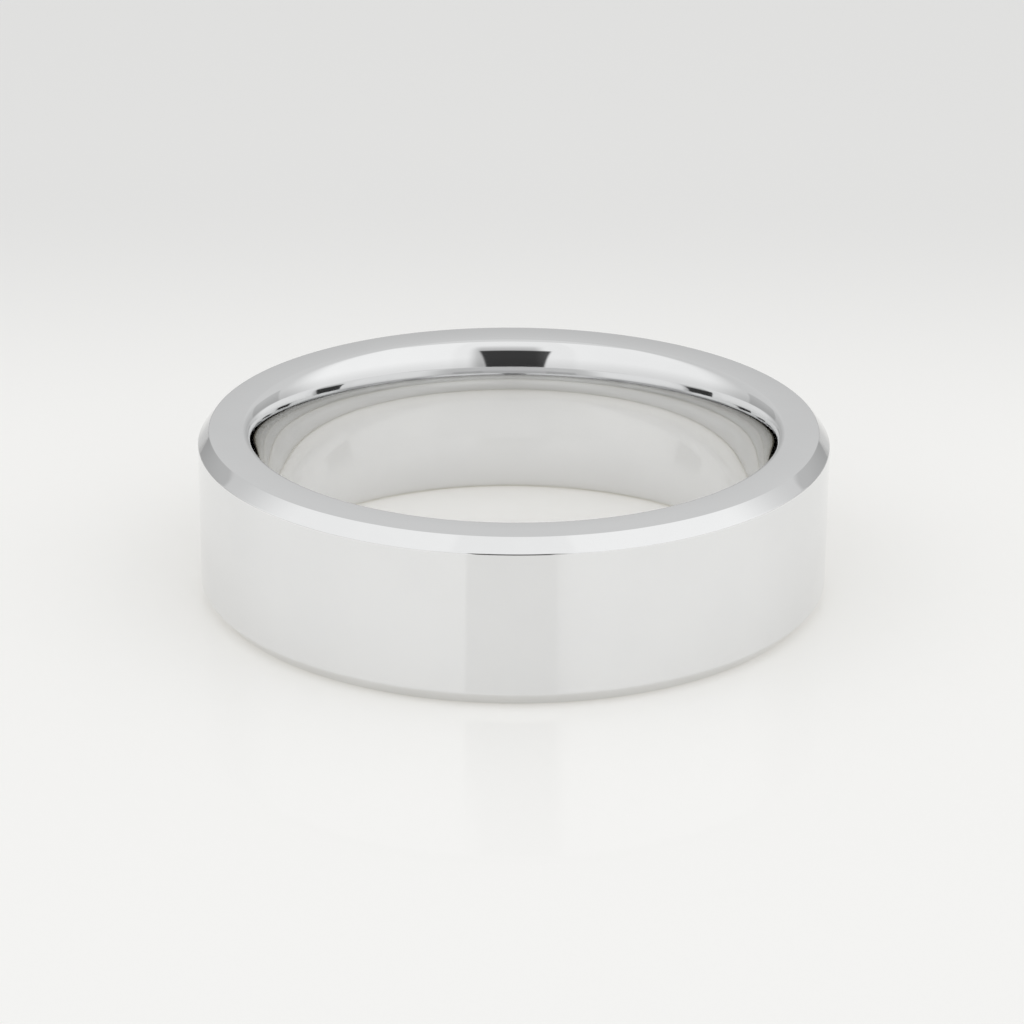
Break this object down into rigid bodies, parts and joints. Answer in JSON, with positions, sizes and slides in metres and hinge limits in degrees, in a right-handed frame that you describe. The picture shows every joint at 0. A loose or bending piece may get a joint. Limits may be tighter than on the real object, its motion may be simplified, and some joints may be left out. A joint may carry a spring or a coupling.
{
  "type": "wedding band",
  "caption": "Seamless mirror-polished white metal wedding band with a flat outer wall, bevelled edges and a comfort-fit bore.",
  "frame": {"origin": "centre of the lower flat side face, on the ring's axis", "axes": "+Z along the ring's axis, up from the side face it rests on; the ring is round, so X and Y are free, and the picture looks along +Y and down"},
  "size_m": [0.0224, 0.0224, 0.006],
  "materials": {
    "polished_metal": "polished"
  },
  "bodies": {
    "root": {"band": "polished_metal"}
  },
  "joints": []
}
